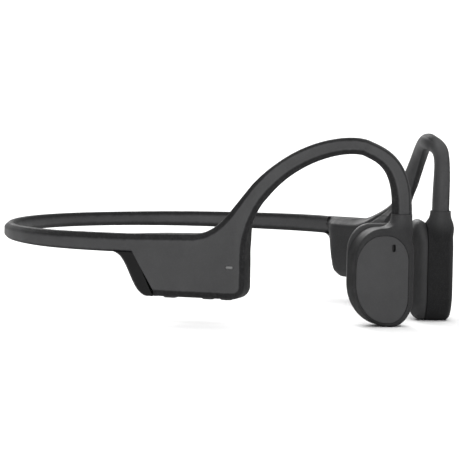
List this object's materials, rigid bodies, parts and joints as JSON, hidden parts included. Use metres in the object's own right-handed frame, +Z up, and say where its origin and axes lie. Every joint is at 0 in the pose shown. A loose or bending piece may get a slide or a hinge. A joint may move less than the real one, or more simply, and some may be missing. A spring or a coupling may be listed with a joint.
{
  "type": "bone conduction headphones",
  "caption": "Wireless open-ear headphones: sprung neckband, two pods, two over-ear hooks and two vibrating transducer heads.",
  "frame": {"origin": "middle of the outer box at the height of the heads' lowest point", "axes": "+X forward from the nape to the cheeks, +Y to the wearer's left, +Z up"},
  "size_m": [0.1184, 0.0954, 0.0446],
  "materials": {
    "silicone_skin": "soft-touch matt, very fine grain",
    "casing_plastic": "matt moulded",
    "trim_plastic": "satin black",
    "panel_plastic": "matt soft-touch coating",
    "spring_wire": "drawn titanium alloy wire",
    "cable_jacket": "matt",
    "lead_jacket": "matt",
    "frame_steel": "stamped",
    "leaf_steel": "spring steel, stamped",
    "coil_copper": "enamelled copper winding",
    "magnet_nickel": "nickel plated",
    "yoke_steel": "zinc plated",
    "microphone_can": "gold-washed can",
    "battery_pouch": "laminated pouch",
    "circuit_board": "solder mask",
    "shield_can": "tinned",
    "led_white": "clear encapsulation",
    "light_guide": "frosted clear",
    "insert_plastic": "matt moulded",
    "contact_gold": "gold plated",
    "switch_black": "moulded with a metal dome"
  },
  "bodies": {
    "root": {"neckband_sleeve_rear": "silicone_skin", "neckband_wire_rear": "spring_wire", "link_cable_rear": "cable_jacket", "neckband_sleeve_flex_left": "silicone_skin", "neckband_wire_flex_left": "spring_wire", "link_cable_flex_left": "cable_jacket", "neckband_sleeve_flex_right": "silicone_skin", "neckband_wire_flex_right": "spring_wire", "link_cable_flex_right": "cable_jacket"},
    "left_arm": {"neckband_sleeve_left": "silicone_skin", "neckband_wire_left": "spring_wire", "link_cable_left": "cable_jacket", "left_pod_shell": "panel_plastic", "left_pod_cover": "casing_plastic", "left_pod_trim": "trim_plastic", "left_ear_hook_sleeve": "silicone_skin", "left_ear_hook_wire": "spring_wire", "left_transducer_lead": "lead_jacket", "left_head_shell": "casing_plastic", "left_head_panel": "panel_plastic", "left_contact_pad": "silicone_skin", "left_transducer_frame": "frame_steel", "left_leaf_spring": "leaf_steel", "left_voice_coil": "coil_copper", "left_microphone": "microphone_can", "battery_cell": "battery_pouch", "protection_board": "circuit_board", "multifunction_switch": "switch_black", "switch_board": "circuit_board"},
    "right_arm": {"neckband_sleeve_right": "silicone_skin", "neckband_wire_right": "spring_wire", "link_cable_right": "cable_jacket", "right_pod_shell": "panel_plastic", "right_pod_cover": "casing_plastic", "right_pod_trim": "trim_plastic", "right_ear_hook_sleeve": "silicone_skin", "right_ear_hook_wire": "spring_wire", "right_transducer_lead": "lead_jacket", "right_head_shell": "casing_plastic", "right_head_panel": "panel_plastic", "right_contact_pad": "silicone_skin", "right_transducer_frame": "frame_steel", "right_leaf_spring": "leaf_steel", "right_voice_coil": "coil_copper", "right_microphone": "microphone_can", "main_board": "circuit_board", "radio_module": "shield_can", "status_led": "led_white", "led_light_guide": "light_guide", "charging_insert": "insert_plastic", "charging_contacts": "contact_gold", "volume_switches": "switch_black"},
    "left_exciter": {"left_magnet": "magnet_nickel", "left_yoke": "yoke_steel"},
    "right_exciter": {"right_magnet": "magnet_nickel", "right_yoke": "yoke_steel"},
    "volume_up": {"volume_up_button": "silicone_skin"},
    "volume_down": {"volume_down_button": "silicone_skin"},
    "multifunction": {"multifunction_button": "silicone_skin"}
  },
  "joints": [
    {"name": "left_arm_spread", "type": "hinge", "parent": "root", "child": "left_arm", "pos_m": [-0.04494, 0.03137, 0.0183], "axis": [0, 0, 1], "range_deg": [-1, 35], "stiffness_Nm_per_rad": 0.15, "deforming": ["neckband_sleeve_flex_left", "neckband_wire_flex_left", "link_cable_flex_left"]},
    {"name": "right_arm_spread", "type": "hinge", "parent": "root", "child": "right_arm", "pos_m": [-0.04494, -0.03137, 0.0183], "axis": [0, 0, -1], "range_deg": [-1, 35], "stiffness_Nm_per_rad": 0.15, "deforming": ["neckband_sleeve_flex_right", "neckband_wire_flex_right", "link_cable_flex_right"]},
    {"name": "volume_up_press", "type": "slide", "parent": "right_arm", "child": "volume_up", "axis": [0, 0, 1], "range_m": [0, 0.0004], "stiffness_N_per_m": 2000},
    {"name": "volume_down_press", "type": "slide", "parent": "right_arm", "child": "volume_down", "axis": [0, 0, 1], "range_m": [0, 0.0004], "stiffness_N_per_m": 2000},
    {"name": "multifunction_press", "type": "slide", "parent": "left_arm", "child": "multifunction", "axis": [-0.766, -0.6428, 0], "range_m": [0, 0.0004], "stiffness_N_per_m": 2000},
    {"name": "left_exciter_shake", "type": "slide", "parent": "left_arm", "child": "left_exciter", "axis": [0.766, 0.6428, 0], "range_m": [-0.00015, 0.00015], "stiffness_N_per_m": 1500, "deforming": ["left_leaf_spring"]},
    {"name": "right_exciter_shake", "type": "slide", "parent": "right_arm", "child": "right_exciter", "axis": [0.766, -0.6428, 0], "range_m": [-0.00015, 0.00015], "stiffness_N_per_m": 1500, "deforming": ["right_leaf_spring"]}
  ]
}
